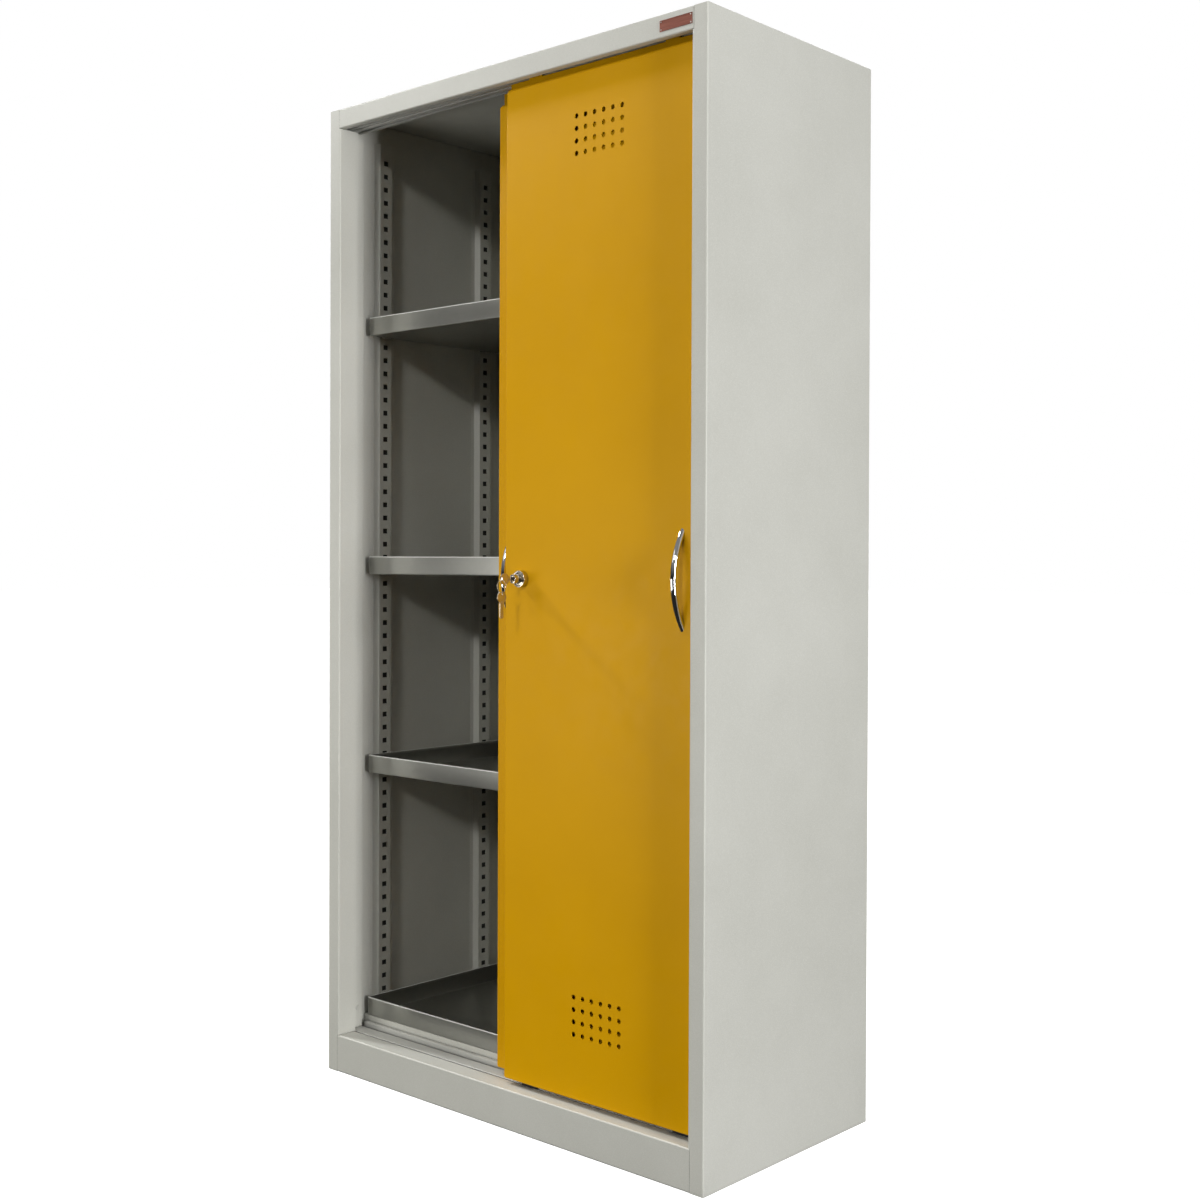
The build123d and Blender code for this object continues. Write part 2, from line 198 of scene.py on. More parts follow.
def deep_gaps(tree, reach):
    """A mask that is 1 deep inside slots and seams and 0 on open faces: where shade is painted."""
    hidden = tree.nodes.new("ShaderNodeAmbientOcclusion")
    hidden.samples = 6
    hidden.inputs["Distance"].default_value = reach
    return span(tree, hidden.outputs["AO"], 1.0, 0.0, 0.22, 0.52)


# Near black for the painted shade deep in slots and seams.
GAP_SHADE_BLACK = (0.022, 0.022, 0.021, 1.0)


def powder_coat(name, thick, thin, edge, pebble, roughness, wear_and_highlight=0.55, gloss=0.5):
    finish, tree, shader, place = new_finish(name, Specular_IOR_Level=gloss)
    cloud = span(tree, noise(tree, place, 3.1, 4, 0.6), 0.0, 1.0)
    speckle = noise(tree, place, pebble * 1.7, 1)
    paint = blended(tree, cloud, thick, thin)
    paint = blended(tree, span(tree, speckle, 0.0, 0.35, 0.45, 0.75), paint, edge)
    # Paler edges: partly wear, partly a painted highlight.
    wear_and_highlight_mix = tree.nodes.new("ShaderNodeMath")
    wear_and_highlight_mix.operation = "MULTIPLY"
    tree.links.new(edge_wear_and_highlight(tree, 0.8 * MM), wear_and_highlight_mix.inputs[0])
    tree.links.new(span(tree, noise(tree, place, 24, 3), wear_and_highlight * 0.5, wear_and_highlight), wear_and_highlight_mix.inputs[1])
    paint = blended(tree, wear_and_highlight_mix.outputs[0], paint, edge)
    # Deep in slots and seams the paint goes to near black: painted shade.
    tree.links.new(blended(tree, deep_gaps(tree, 14 * MM), paint, GAP_SHADE_BLACK), shader.inputs["Base Color"])
    low, high = roughness
    tree.links.new(span(tree, noise(tree, place, 38, 3), low, high), shader.inputs["Roughness"])
    grain = noise(tree, place, pebble, 2, 0.45)
    raised(tree, shader, grain, 0.22 * MM, 0.5)
    return finish


body_grey = powder_coat(
    "grey_powder_coat",
    thick=colour(0.50, 0.50, 0.455),
    thin=colour(0.56, 0.56, 0.515),
    edge=colour(0.78, 0.78, 0.74),
    pebble=620,
    roughness=(0.42, 0.54),
)
door_yellow = powder_coat(
    "yellow_powder_coat",
    thick=colour(0.61, 0.305, 0.0),
    thin=colour(0.66, 0.335, 0.0),
    edge=colour(0.88, 0.50, 0.0),
    pebble=560,
    roughness=(0.36, 0.48),
    wear_and_highlight=0.35,
    gloss=0.09,
)
print("powder coats:", body_grey.name, door_yellow.name)

# %% [markdown]
# ## Bare and plated metals
# The trays are galvanised sheet: a zinc skin with soft grey crystals and a faint
# rolling direction. The handles are chromed, and the lock and keys have nickel that
# is a shade warmer. Their colour comes from what they mirror, so the finish only
# needs a little haze and fine scratches.

# %% Zinc, chrome and nickel
def zinc_sheet(name, dark, bright, rim, shine=0.92):
    finish, tree, shader, place = new_finish(name)
    crystals = tree.nodes.new("ShaderNodeTexVoronoi")
    crystals.inputs["Scale"].default_value = 120
    tree.links.new(place, crystals.inputs["Vector"])
    flakes = tree.nodes.new("ShaderNodeSeparateColor")
    tree.links.new(crystals.outputs["Color"], flakes.inputs[0])
    rolled = noise(tree, stretched(tree, place, (3, 40, 260)), 3.0, 3)
    # Sharp edges are mixed to the pale rim colour and made less metallic: a painted highlight.
    edges = edge_wear_and_highlight(tree, 0.9 * MM)
    tone = blended(tree, span(tree, flakes.outputs[0], 0.0, 0.16, 0.0, 1.0), dark, bright)
    tone = blended(tree, span(tree, rolled, 0.0, 0.18), tone, bright)
    tree.links.new(blended(tree, edges, tone, rim), shader.inputs["Base Color"])
    tree.links.new(span(tree, edges, shine, 0.25, 0.0, 1.0), shader.inputs["Metallic"])
    tree.links.new(span(tree, noise(tree, place, 9, 2), 0.29, 0.34), shader.inputs["Roughness"])
    return finish


def plated(name, tone, tint, roughness, scratch):
    finish, tree, shader, place = new_finish(name, metallic=1.0)
    haze = noise(tree, place, 140, 4, 0.6)
    scratches = noise(tree, stretched(tree, place, (900, 900, 60)), 1.0, 3)
    low, high = roughness
    tree.links.new(blended(tree, span(tree, haze, 0.0, 1.0), tone, tint), shader.inputs["Base Color"])
    tree.links.new(span(tree, haze, low, high), shader.inputs["Roughness"])
    raised(tree, shader, scratches, scratch, 0.25)
    return finish


tray_zinc = zinc_sheet("zinc_sheet", grey(0.42, 0.03), grey(0.50, 0.03), grey(0.80))
# Darker zinc on the tray insides is painted shade.
well_shade_zinc = zinc_sheet("zinc_inside_painted_shade", grey(0.23), grey(0.29), grey(0.50))
# Near-white zinc on the tray hems is a painted highlight.
hem_highlight_zinc = zinc_sheet("zinc_hem_painted_highlight", grey(0.82), grey(0.95), grey(0.95, 0.01), shine=0.2)
clip_zinc = zinc_sheet("zinc_clips", grey(0.36), grey(0.60), grey(0.75, 0.03))
chrome = plated("bright_chrome", colour(0.78, 0.79, 0.80), colour(0.72, 0.73, 0.75), (0.02, 0.05), 0.01 * MM)
lock_nickel = plated(
    "satin_nickel", colour(0.62, 0.58, 0.50), colour(0.50, 0.45, 0.37), (0.12, 0.24), 0.02 * MM
)
key_nickel = plated("key_nickel", colour(0.66, 0.60, 0.50), colour(0.52, 0.46, 0.36), (0.14, 0.28), 0.03 * MM)
spring_steel = plated("spring_steel", grey(0.50, 0), grey(0.40, 0), (0.2, 0.35), 0.02 * MM)
rivet_steel = plated("rivet_steel", grey(0.60, 0.03), grey(0.48), (0.25, 0.4), 0.02 * MM)
print("metals:", [m.name for m in (tray_zinc, well_shade_zinc, hem_highlight_zinc, chrome, lock_nickel, key_nickel)])

# %% [markdown]
# ## Rail paint, plastics and the nameplate
# The hanging tracks are the same grey paint, with paler edges that are partly rubbed by
# the wheels and partly a painted highlight. Rollers and guide shoes are moulded plastic
# with a dull skin. The nameplate is anodised copper red, brushed along its length, and here it carries no
# words.

# %% Rail paint, plastics and nameplate
def moulded(name, tone, tint):
    finish, tree, shader, place = new_finish(name)
    mottle = span(tree, noise(tree, place, 90, 3), 0.0, 1.0)
    tree.links.new(blended(tree, mottle, tone, tint), shader.inputs["Base Color"])
    tree.links.new(span(tree, noise(tree, place, 200, 2), 0.42, 0.6), shader.inputs["Roughness"])
    raised(tree, shader, noise(tree, place, 1500, 2), 0.03 * MM, 0.4)
    return finish


def brushed_plate(name, tone, tint):
    finish, tree, shader, place = new_finish(name, metallic=0.75)
    brush = noise(tree, stretched(tree, place, (20, 900, 2600)), 1.0, 3)
    tree.links.new(blended(tree, span(tree, brush, 0.0, 1.0), tone, tint), shader.inputs["Base Color"])
    tree.links.new(span(tree, brush, 0.3, 0.45), shader.inputs["Roughness"])
    raised(tree, shader, brush, 0.02 * MM, 0.3)
    return finish


rail_grey = powder_coat(
    "rail_paint",
    thick=grey(0.44, 0.03),
    thin=grey(0.50, 0.03),
    edge=grey(0.70, 0.03),
    pebble=620,
    roughness=(0.36, 0.5),
)
roller_nylon = moulded("white_nylon", colour(0.72, 0.71, 0.66), colour(0.62, 0.61, 0.57))
shoe_plastic = moulded("black_plastic", colour(0.020, 0.020, 0.021), colour(0.032, 0.032, 0.033))
plate_copper = brushed_plate("copper_red_plate", colour(0.17, 0.052, 0.036), colour(0.30, 0.11, 0.075))
FINISHES = {
    "body_grey": body_grey,
    "rail_grey": rail_grey,
    "door_yellow": door_yellow,
    "tray_zinc": tray_zinc,
    "clip_zinc": clip_zinc,
    "chrome": chrome,
    "lock_nickel": lock_nickel,
    "key_nickel": key_nickel,
    "spring_steel": spring_steel,
    "roller_nylon": roller_nylon,
    "shoe_plastic": shoe_plastic,
    "plate_copper": plate_copper,
    "rivet_steel": rivet_steel,
}
print("finishes:", len(FINISHES))

# %% [markdown]
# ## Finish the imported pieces
# The record says which material slot each node takes, so one loop dresses them all.
# The folded sheets, tracks and uprights are right as they are and only need this.

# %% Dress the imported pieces
for part in frame["record"]["subparts"]:
    node = NODES[part["node"]]
    for place in node.material_slots:
        place.material = FINISHES[part["material_slot"]]

# %% [markdown]
# ## Helpers for modelling
# Pieces are shaped as by hand: add a primitive, go into edit mode, select a few faces
# or edges, and push, inset or bevel them. With no mouse the selection is made by a
# rule about an element's centre, and everything is deselected first.

# %% Modelling helpers
def let_go():
    """Back to object mode with nothing selected."""
    if bpy.context.object and bpy.context.object.mode != "OBJECT":
        bpy.ops.object.mode_set(mode="OBJECT")
    bpy.ops.object.select_all(action="DESELECT")


def take(piece):
    let_go()
    piece.select_set(True)
    bpy.context.view_layer.objects.active = piece


def select(piece, kind, rule):
    """In edit mode, select only the edges or faces whose centre passes the rule."""
    take(piece)
    bpy.ops.object.mode_set(mode="EDIT")
    bpy.ops.mesh.select_mode(type=kind)
    bpy.ops.mesh.select_all(action="DESELECT")
    bpy.ops.object.mode_set(mode="OBJECT")
    mesh = piece.data
    if kind == "FACE":
        chosen = [(f, f.center) for f in mesh.polygons]
    else:
        ends = [[mesh.vertices[end].co for end in e.vertices] for e in mesh.edges]
        chosen = [(e, (start + stop) / 2) for e, (start, stop) in zip(mesh.edges, ends)]
    for element, centre in chosen:
        element.select = bool(rule(element, centre))
    bpy.ops.object.mode_set(mode="EDIT")


def keep_place(piece):
    """Put the place, turn and scale into the mesh, so the object sits at the origin."""
    take(piece)
    bpy.ops.object.transform_apply(location=True, rotation=True, scale=True)


def apply_all(piece):
    take(piece)
    for modifier in list(piece.modifiers):
        bpy.ops.object.modifier_apply(modifier=modifier.name)


def smooth(piece, degrees=35):
    take(piece)
    bpy.ops.object.shade_smooth_by_angle(angle=math.radians(degrees))


def face_out(piece):
    """Merge doubles and turn every face outwards."""
    take(piece)
    bpy.ops.object.mode_set(mode="EDIT")
    bpy.ops.mesh.select_all(action="SELECT")
    bpy.ops.mesh.remove_doubles(threshold=0.002 * MM)
    bpy.ops.mesh.normals_make_consistent(inside=False)
    let_go()


def combine(first, second, operation):
    """A boolean of two pieces; the second is used up."""
    modifier = first.modifiers.new("cut", "BOOLEAN")
    modifier.operation = operation
    modifier.solver = "EXACT"
    modifier.object = second
    apply_all(first)
    bpy.data.objects.remove(second, do_unlink=True)


def mirrored(piece):
    """A copy with its own mesh, mirrored left to right."""
    twin = piece.copy()
    twin.data = piece.data.copy()
    bpy.context.scene.collection.objects.link(twin)
    twin.scale.x = -1
    keep_place(twin)
    face_out(twin)
    return twin


def join(pieces):
    take(pieces[0])
    for piece in pieces:
        piece.select_set(True)
    bpy.ops.object.join()
    return pieces[0]


def finished(piece, name, slot, body, *nodes):
    """Name a piece, dress it, set it riding on its body and let it stand for CAD nodes."""
    piece.name = name
    piece.data.name = name
    piece.data.materials.clear()
    piece.data.materials.append(FINISHES[slot])
    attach(piece, body)
    if nodes:
        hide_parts(*nodes)
    size = [round(v / MM, 1) for v in piece.dimensions]
    print(name, "on", body, "size", size, "faces", len(piece.data.polygons))


def cylinder(radius, start, end, centre, axis, sides=48):
    """A bar along one axis, between two places on it."""
    middle = Vector(centre)
    index = "XYZ".index(axis)
    middle[index] = (start + end) / 2
    spin = {"X": (0, math.pi / 2, 0), "Y": (math.pi / 2, 0, 0), "Z": (0, 0, 0)}[axis]
    let_go()
    bpy.ops.mesh.primitive_cylinder_add(
        vertices=sides, radius=radius, depth=abs(end - start), location=middle, rotation=spin
    )
    piece = bpy.context.object
    keep_place(piece)
    return piece


def cube(low, high):
    let_go()
    centre = [(a + b) / 2 for a, b in zip(low, high)]
    bpy.ops.mesh.primitive_cube_add(size=1, location=centre)
    piece = bpy.context.object
    piece.scale = [b - a for a, b in zip(low, high)]
    keep_place(piece)
    return piece


def bevelled(piece, width, segments=2, angle=40):
    modifier = piece.modifiers.new("rounded", "BEVEL")
    modifier.width = width
    modifier.segments = segments
    modifier.limit_method = "ANGLE"
    modifier.angle_limit = math.radians(angle)
    apply_all(piece)


print("modelling helpers ready")

# %% [markdown]
# ## Shelf trays
# Each tray is one zinc sheet with walls turned up on all four sides, rounded corners
# and a rim folded back on itself. It could be a box with a Solidify modifier, but a
# real tray has a soft fold below and a thicker hem above. So a cube gets its upright
# edges and bottom edges bevelled, its top is inset and pushed down to the floor, and
# the rim is inset once more and rounded. The hem faces get a near-white finish, a
# painted highlight, and the inside faces a darker one, painted shade.

# %% Shelf trays
HEM = 1.6 * MM


def tray(low, high, sheet=1.5 * MM):
    shoulder = high[2] - HEM
    piece = cube(low, (high[0], high[1], shoulder))
    select(piece, "EDGE", lambda e, c: abs(c.z - (low[2] + shoulder) / 2) < 1 * MM)
    bpy.ops.mesh.bevel(offset=5 * MM, segments=7, affect="EDGES")
    select(piece, "FACE", lambda f, c: f.normal.z < -0.9)
    bpy.ops.mesh.region_to_loop()
    bpy.ops.mesh.bevel(offset=2.4 * MM, segments=4, affect="EDGES")
    select(piece, "FACE", lambda f, c: f.normal.z > 0.9)
    bpy.ops.mesh.extrude_region_move(TRANSFORM_OT_translate={"value": (0, 0, HEM)})
    bpy.ops.mesh.inset(thickness=sheet * 1.6, depth=0)
    bpy.ops.mesh.extrude_region_move(TRANSFORM_OT_translate={"value": (0, 0, -5.5 * MM)})
    bpy.ops.mesh.inset(thickness=-sheet * 0.6, depth=0)
    bpy.ops.mesh.extrude_region_move(
        TRANSFORM_OT_translate={"value": (0, 0, -(high[2] - low[2] - sheet - 5.5 * MM))}
    )
    let_go()
    bevelled(piece, 0.45 * MM, 2, 50)
    smooth(piece)
    return piece


for level_name in ("top", "middle", "lower", "bottom"):
    node_name = f"shelf_tray_{level_name}"
    low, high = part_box(node_name)
    piece = tray(low, high)
    finished(piece, f"tray_{level_name}", "tray_zinc", "cabinet", node_name)
    piece.data.materials.append(hem_highlight_zinc)
    piece.data.materials.append(well_shade_zinc)
    middle = (low + high) / 2
    reach = (high - low) / 2 - Vector((2, 2, 2)) * MM
    # Rim faces take the painted highlight, inside faces the painted shade.
    for face in piece.data.polygons:
        place = face.center - middle
        if face.center.z > high.z - HEM:
            face.material_index = 1
        elif abs(place.x) < reach.x and abs(place.y) < reach.y and face.center.z > low.z + 1 * MM:
            face.material_index = 2

# %% [markdown]
# ## Bow handles
# A bow handle is a round bar bent to an arc, with both ends cut flush on the door. A
# curve with a bevel would make it too, but then its ends would be square. Here a
# circle is spun about the arc's centre and a bisect cuts both feet at the door.

# %% Bow handles
ARC = 135.5 * MM
BAR = 5.0 * MM
REACH = 20.0 * MM
SPREAD = math.radians(38)


def bow_handle(node_name):
    low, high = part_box(node_name)
    centre = (low + high) / 2
    face = high.y
    pivot = Vector((centre.x, low.y + BAR + ARC, centre.z))
    start = pivot + Vector((0, -math.cos(SPREAD), -math.sin(SPREAD))) * ARC
    let_go()
    bpy.ops.mesh.primitive_circle_add(vertices=28, radius=BAR, location=start, rotation=(SPREAD, 0, 0))
    piece = bpy.context.object
    keep_place(piece)
    bpy.ops.object.mode_set(mode="EDIT")
    bpy.ops.mesh.select_all(action="SELECT")
    bpy.ops.mesh.spin(steps=72, angle=2 * SPREAD, center=pivot, axis=(1, 0, 0))
    bpy.ops.mesh.select_all(action="SELECT")
    bpy.ops.mesh.bisect(plane_co=(0, face, 0), plane_no=(0, 1, 0), use_fill=True, clear_outer=True)
    face_out(piece)
    smooth(piece, 50)
    return piece


for door_name, body in (("front", "front_door"), ("rear", "rear_door")):
    node_name = f"{door_name}_door_handle"
    finished(bow_handle(node_name), f"{door_name}_bow_handle", "chrome", body, node_name)

# %% [markdown]
# ## Push lock
# The lock is a turned nickel collar on the door, with a round plunger that is pushed
# in to lock and springs out when the key is turned. A lathe profile could be spun,
# but stepping a cylinder's end face in and out by hand follows how it is turned.
# Collar and barrel are bored right through, so the plunger has room for its travel.

# %% Lock collar and plunger
def end_face(piece, y):
    """Select the flat end face at that depth."""
    select(piece, "FACE", lambda f, c: abs(f.normal.y) > 0.99 and abs(c.y - y) < 0.2 * MM)


def push(distance):
    bpy.ops.mesh.extrude_region_move(TRANSFORM_OT_translate={"value": (0, distance, 0)})


COLLAR = 14 * MM
BARREL = 9.5 * MM
BORE = 7.8 * MM
PIN_HOLE = 4.3 * MM
BUTTON = 7.5 * MM
BUTTON_LONG = 16 * MM
PLUG = 4.9 * MM
low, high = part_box("lock_housing")
middle = (low + high) / 2
collar_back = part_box("front_door_panel")[0].y
collar = cylinder(COLLAR, low.y, collar_back, middle, "Y", 72)
end_face(collar, low.y)
bpy.ops.mesh.inset(thickness=2.2 * MM, depth=0)
push(1.0 * MM)
bpy.ops.mesh.inset(thickness=0.9 * MM, depth=0)
push(-0.7 * MM)
let_go()
bore = cylinder(BORE, low.y - 5 * MM, collar_back + 5 * MM, middle, "Y", 56)
combine(collar, bore, "DIFFERENCE")
bevelled(collar, 0.7 * MM, 3)
smooth(collar)
finished(collar, "lock_collar", "lock_nickel", "front_door")

barrel = cylinder(BARREL, collar_back, high.y, middle, "Y", 48)
bore = cylinder(BORE, collar_back - 5 * MM, high.y - 2 * MM, middle, "Y", 56)
combine(barrel, bore, "DIFFERENCE")
pin_hole = cylinder(PIN_HOLE, collar_back, high.y + 5 * MM, middle, "Y", 40)
combine(barrel, pin_hole, "DIFFERENCE")
bevelled(barrel, 0.3 * MM)
smooth(barrel)
finished(barrel, "lock_barrel", "lock_nickel", "front_door", "lock_housing")

low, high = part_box("lock_plunger")
plunger = cylinder(BUTTON, low.y, low.y + BUTTON_LONG, middle, "Y", 56)
end_face(plunger, low.y)
bpy.ops.mesh.inset(thickness=1.4 * MM, depth=0)
push(-0.5 * MM)
bpy.ops.mesh.inset(thickness=0.9 * MM, depth=0)
push(2.0 * MM)
end_face(plunger, low.y + BUTTON_LONG)
bpy.ops.mesh.inset(thickness=3.5 * MM, depth=0)
push(high.y - low.y - BUTTON_LONG)
let_go()
bevelled(plunger, 0.35 * MM, 3)
smooth(plunger)
finished(plunger, "lock_push_button", "lock_nickel", "lock_plunger", "lock_plunger")

low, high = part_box("key_plug")
plug = cylinder(PLUG, low.y + 2.2 * MM, high.y, middle, "Y", 40)
slot_cut = cube(
    (middle.x - 1.1 * MM, low.y - 5 * MM, middle.z - 4.1 * MM),
    (middle.x + 1.1 * MM, high.y - 3 * MM, middle.z + 4.1 * MM),
)
combine(plug, slot_cut, "DIFFERENCE")
bevelled(plug, 0.2 * MM, 2, 60)
smooth(plug)
finished(plug, "key_cylinder", "lock_nickel", "key", "key_plug")

# %% [markdown]
# ## Keys and ring
# A cabinet key is stamped from nickelled brass: a broad bow with clipped shoulders,
# a hole for the ring, a raised rim, and a narrow blade with a milled groove and
# notched edge. The bow starts as a twelve-sided cylinder, inset on both faces, and the
# blade, hole and notches are joined or cut by booleans. The second key is a copy,
# turned to hang from the ring.

# %% Keys and ring
KEY_HALF = 1.0 * MM
BLADE_HALF = 4.0 * MM
BOW = 10.0 * MM
NOTCHES = (1.2, 2.0, 0.9, 1.6)


def key_shape(x, y_bow, y_tip, z):
    """A key lying along the depth, its flat sides facing left and right."""
    bow = cylinder(BOW, x - KEY_HALF, x + KEY_HALF, (x, y_bow, z), "X", 12)
    for side in (-1, 1):
        select(bow, "FACE", lambda f, c: f.normal.x * side > 0.9)
        bpy.ops.mesh.inset(thickness=1.6 * MM, depth=0)
        bpy.ops.mesh.inset(thickness=0.4 * MM, depth=-0.35 * MM)
    let_go()
    near = 0.01 * MM
    blade = cube((x - KEY_HALF, y_bow + 8 * MM, z - BLADE_HALF), (x + KEY_HALF, y_tip, z + BLADE_HALF))
    select(blade, "EDGE", lambda e, c: abs(c.y - y_tip) < near and abs(abs(c.z - z) - BLADE_HALF) < near)
    bpy.ops.mesh.bevel(offset=2.4 * MM, segments=1, affect="EDGES")
    let_go()
    for side in (-1, 1):
        groove = cube(
            (x + side * 0.9 * MM - 0.35 * MM, y_bow + 9 * MM, z - 0.9 * MM),
            (x + side * 0.9 * MM + 0.35 * MM, y_tip + 1 * MM, z + 0.6 * MM),
        )
        combine(blade, groove, "DIFFERENCE")
    combine(bow, blade, "UNION")
    for n, deep in enumerate(NOTCHES):
        notch_y = y_bow + (17 + 4 * n) * MM
        bottom = z + BLADE_HALF - deep * MM
        notch = cube((x - 3 * MM, notch_y, bottom), (x + 3 * MM, notch_y + 1.8 * MM, z + 6 * MM))
        combine(bow, notch, "DIFFERENCE")
    hole = cylinder(2.5 * MM, x - 5 * MM, x + 5 * MM, (x, y_bow - 6.5 * MM, z), "X", 32)
    combine(bow, hole, "DIFFERENCE")
    bevelled(bow, 0.22 * MM, 2, 50)
    smooth(bow, 30)
    return bow


low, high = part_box("key")
main_key = key_shape(middle.x, low.y + BOW, high.y, middle.z)

low_spare, high_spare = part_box("spare_key")
hang_y = (low_spare.y + high_spare.y) / 2
length = high_spare.z - low_spare.z
spare = key_shape(middle.x, hang_y, hang_y + length - BOW, high_spare.z - BOW)
take(spare)
bpy.ops.object.mode_set(mode="EDIT")
bpy.ops.mesh.select_all(action="SELECT")
bpy.ops.transform.rotate(
    value=math.radians(90), orient_axis="X", center_override=(middle.x, hang_y, high_spare.z - BOW)
)
let_go()
finished(main_key, "key_in_lock", "key_nickel", "key", "key")
finished(spare, "key_hanging", "key_nickel", "spare_key", "spare_key")

low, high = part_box("key_ring")
wire = (high.y - low.y) / 2
ring_middle = (low + high) / 2
loop_radius = (high.z - low.z) / 2 - wire
let_go()
start = ring_middle + Vector((loop_radius, -wire * 0.5, 0))
bpy.ops.mesh.primitive_circle_add(vertices=12, radius=wire * 0.5, location=start)
ring = bpy.context.object
keep_place(ring)
bpy.ops.object.mode_set(mode="EDIT")
bpy.ops.mesh.select_all(action="SELECT")
STEPS = 120
for step in range(STEPS):
    bpy.ops.mesh.extrude_region_move(TRANSFORM_OT_translate={"value": (0, wire / STEPS, 0)})
    bpy.ops.transform.rotate(value=math.radians(-6), orient_axis="Y", center_override=ring_middle)
bpy.ops.mesh.select_all(action="SELECT")
bpy.ops.mesh.fill_holes(sides=16)
let_go()
face_out(ring)
smooth(ring, 60)
finished(ring, "split_ring", "key_nickel", "key_ring", "key_ring")

# %% [markdown]
# ## Rivets and the nameplate
# Rivet heads are low domes. A short cylinder whose rim is bevelled in several steps
# gives one with an even highlight. The nameplate is a thin stamped plate: its face
# is inset to leave a raised border, and it carries no words. Four small rivets hold it.

# %% Rivets and nameplate
def dome(radius, height, base, outward, centre):
    """A low dome standing on a face, along x or y."""
    index = "XYZ".index(outward[1])
    sign = 1 if outward[0] == "+" else -1
    piece = cylinder(radius, base, base + sign * height, centre, outward[1], 40)
    tip = base + sign * height
    select(piece, "FACE", lambda f, c: abs(c[index] - tip) < 0.01 * MM)
    bpy.ops.mesh.region_to_loop()
    bpy.ops.mesh.bevel(offset=min(height * 0.92, radius * 0.7), segments=5, affect="EDGES")
    let_go()
    smooth(piece, 50)
    return piece


low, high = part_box("jamb_rivets")
jamb_low, jamb_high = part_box("jamb_left")
rivet_middle = (low + high) / 2
head = dome(4.6 * MM, 1.3 * MM, jamb_high.x, "+X", rivet_middle)
finished(join([head, mirrored(head)]), "jamb_rivet_heads", "body_grey", "cabinet", "jamb_rivets")

low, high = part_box("nameplate")
plate = cube(low, high)
select(plate, "FACE", lambda f, c: f.normal.y < -0.9)
bpy.ops.mesh.inset(thickness=1.0 * MM, depth=0)
bpy.ops.mesh.inset(thickness=0.25 * MM, depth=-0.18 * MM)
let_go()
bevelled(plate, 0.12 * MM, 2, 50)
smooth(plate)
finished(plate, "blank_nameplate", "plate_copper", "cabinet", "nameplate")

low_pin, high_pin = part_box("nameplate_rivets")
pins = []
for x in (low_pin.x + 1 * MM, high_pin.x - 1 * MM):
    for z in (low_pin.z + 1 * MM, high_pin.z - 1 * MM):
        pins.append(dome(1.1 * MM, 0.4 * MM, low.y + 0.1 * MM, "-Y", (x, 0, z)))
finished(join(pins), "nameplate_rivet_heads", "rivet_steel", "cabinet", "nameplate_rivets")

# %% [markdown]
# ## Inside the uprights
# Behind each ladder of slots sits a near-black strip, painted shade, so the slots read
# as black squares. It is a strip with its two long edges turned towards the wall,
# pushed out from the strip's back face.

# %% Painted shade strips inside the uprights
def shade_finish(name, tone, tint):
    finish, tree, shader, place = new_finish(name, metallic=0.3)
    shade_mottle = span(tree, noise(tree, place, 70, 3), 0.0, 1.0)
    tree.links.new(blended(tree, shade_mottle, tone, tint), shader.inputs["Base Color"])
    tree.links.new(span(tree, noise(tree, place, 180, 2), 0.55, 0.75), shader.inputs["Roughness"])
    return finish


# Near-black finish standing for the shade inside the hollow posts: painted shade.
slot_shade_black = shade_finish("slot_painted_shade", colour(0.006, 0.006, 0.006), colour(0.016, 0.015, 0.014))
CHANNEL_HALF = 11 * MM
CHANNEL_SHEET = 0.8 * MM


def slot_shade_strip(node_name, side):
    low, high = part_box(node_name)
    face = min(abs(low.x), abs(high.x)) + 2.0 * MM
    middle_y = (low.y + high.y) / 2
    span_x = sorted((side * face, side * (face + CHANNEL_SHEET)))
    piece = cube(
        (span_x[0], middle_y - CHANNEL_HALF, low.z + 1 * MM),
        (span_x[1], middle_y + CHANNEL_HALF, high.z - 1 * MM),
    )
    select(piece, "FACE", lambda f, c: f.normal.x * side > 0.9)
    bpy.ops.mesh.subdivide(number_cuts=1)
    bpy.ops.mesh.select_all(action="DESELECT")
    select(piece, "FACE", lambda f, c: f.normal.x * side > 0.9)
    bpy.ops.mesh.inset(thickness=CHANNEL_SHEET, depth=0)
    edge = CHANNEL_HALF - CHANNEL_SHEET + 0.1 * MM
    select(piece, "FACE", lambda f, c: f.normal.x * side > 0.9 and abs(c.y - middle_y) > edge)
    bpy.ops.mesh.extrude_region_move(TRANSFORM_OT_translate={"value": (side * 5 * MM, 0, 0)})
    let_go()
    bevelled(piece, 0.15 * MM, 1)
    return piece


for side_name, side in (("right", 1), ("left", -1)):
    for row in ("front", "rear"):
        piece = slot_shade_strip(f"upright_{row}_{side_name}", side)
        name = f"upright_channel_{row}_{side_name}"
        finished(piece, name, "body_grey", "cabinet")
        piece.data.materials[0] = slot_shade_black

# %% [markdown]
# ## Floor and light
# A plain pale floor with a little glow of its own, so the cabinet stands on white.
# One far lamp, high up in front, throws the trays' slanting shadows on the side wall.
# Soft lamps from the side and from low in front fill the faces, and a small one at the
# upper left grazes the door, so that the lock draws a thin shadow across it. A single
# dome light would be simpler, but it would leave the folds without any modelling.

# %% Floor and light
def lamp(name, place, aim, size, power, tint=(1, 1, 1)):
    light = bpy.data.lights.new(name, "AREA")
    light.shape = "RECTANGLE"
    light.size, light.size_y = size
    light.energy = power
    light.color = tint
    stand = bpy.data.objects.new(name, light)
    stand.location = place
    stand.rotation_euler = (Vector(aim) - Vector(place)).to_track_quat("-Z", "Y").to_euler()
    bpy.context.scene.collection.objects.link(stand)


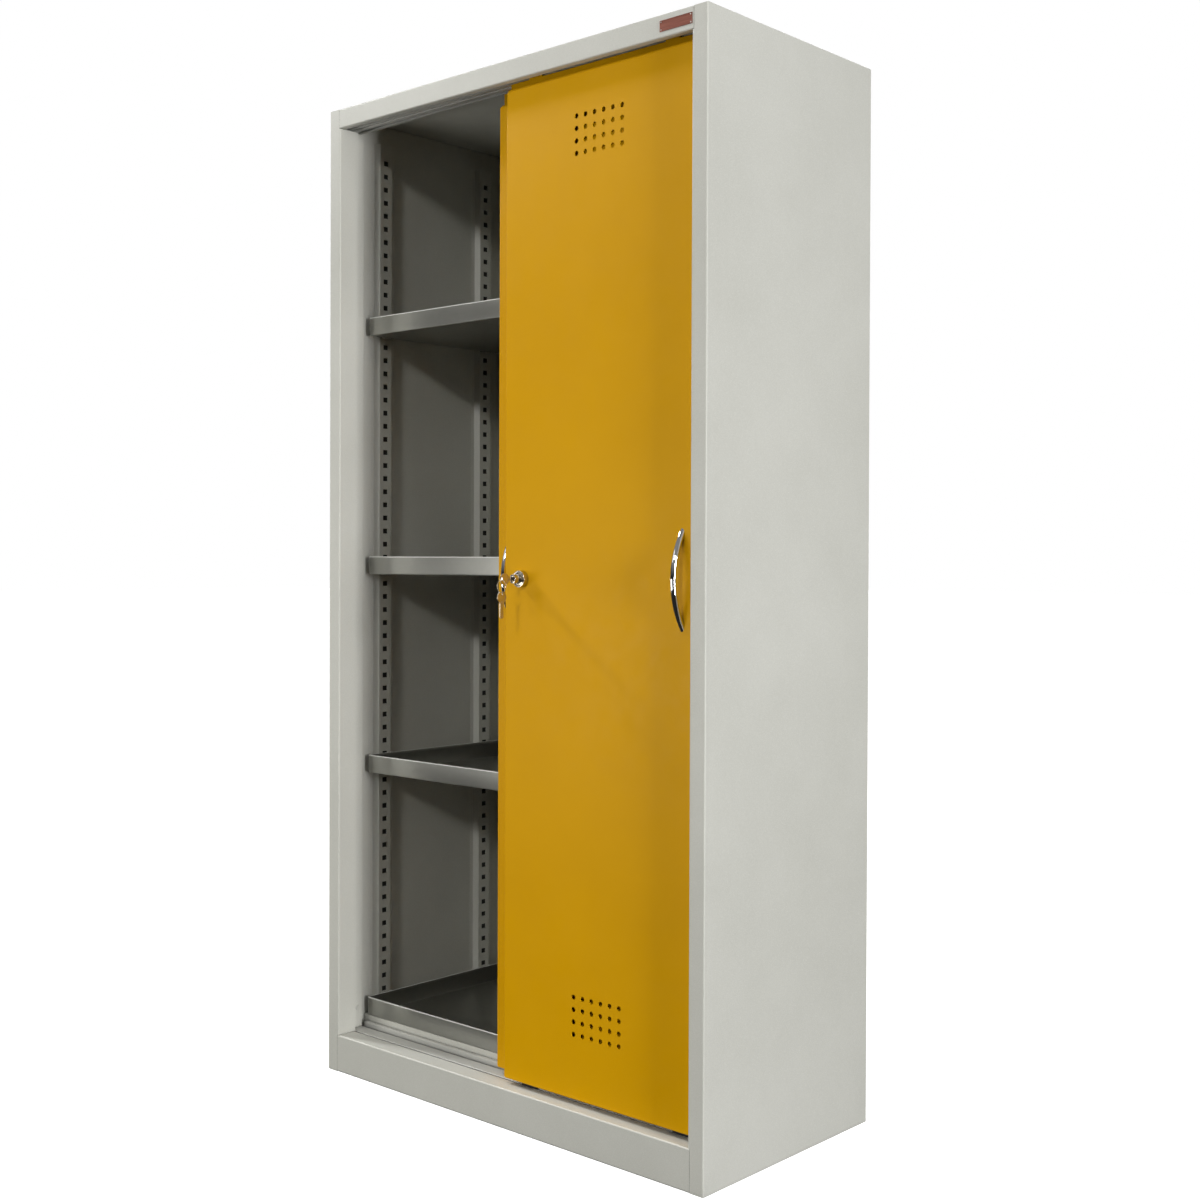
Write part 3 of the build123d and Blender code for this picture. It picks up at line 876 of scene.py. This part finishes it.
let_go()
bpy.ops.mesh.primitive_plane_add(size=80, location=(0, 0, -0.0005))
floor = bpy.context.object
floor.name = "floor"
floor_finish, tree, shader, place = new_finish("pale_floor", roughness=0.85)
shader.inputs["Emission Color"].default_value = colour(1, 1, 1)
shader.inputs["Emission Strength"].default_value = 0.92
tree.links.new(
    blended(tree, noise(tree, place, 0.8, 2), colour(0.80, 0.80, 0.80), colour(0.84, 0.84, 0.84)),
    shader.inputs["Base Color"],
)
floor.data.materials.append(floor_finish)
floor.visible_diffuse = False
floor.visible_glossy = False

DAYLIGHT = (1.0, 0.99, 0.95)
lamp("room", (1.9, -8.0, 4.7), (0.0, 0.0, 1.0), (1.1, 0.8), 205, DAYLIGHT)
lamp("low_front", (-1.3, -2.7, 0.65), (0.0, 0.0, 0.7), (1.6, 0.6), 26, DAYLIGHT)
lamp("high_left", (-3.0, -3.9, 3.1), (0.0, 0.0, 1.0), (2.0, 1.2), 12, DAYLIGHT)
lamp("overhead", (0.6, -1.0, 3.9), (0.0, -0.2, 1.0), (1.4, 0.5), 12)
lamp("window_left", (-3.1, -0.75, 3.25), (0.2, -0.2, 0.9), (0.35, 0.25), 90)
lamp("side_soft", (4.6, -0.84, 1.1), (0.4, 0.0, 0.9), (0.6, 1.8), 178)

world = bpy.data.worlds.new("studio")
bpy.context.scene.world = world
world.use_nodes = True
sky = world.node_tree
ambient = sky.nodes["Background"]
ambient.inputs["Color"].default_value = colour(1.0, 1.0, 0.98)
direction = sky.nodes.new("ShaderNodeTexCoord")
axes = sky.nodes.new("ShaderNodeSeparateXYZ")
sky.links.new(direction.outputs["Generated"], axes.inputs[0])
sky.links.new(span(sky, axes.outputs["Z"], 0.02, 0.24, 0.07, 0.30), ambient.inputs["Strength"])
backdrop = sky.nodes.new("ShaderNodeBackground")
backdrop.inputs["Color"].default_value = colour(1, 1, 1)
backdrop.inputs["Strength"].default_value = 1.0
seen = sky.nodes.new("ShaderNodeLightPath")
either = sky.nodes.new("ShaderNodeMixShader")
sky.links.new(seen.outputs["Is Camera Ray"], either.inputs[0])
sky.links.new(ambient.outputs[0], either.inputs[1])
sky.links.new(backdrop.outputs[0], either.inputs[2])
sky.links.new(either.outputs[0], sky.nodes["World Output"].inputs["Surface"])
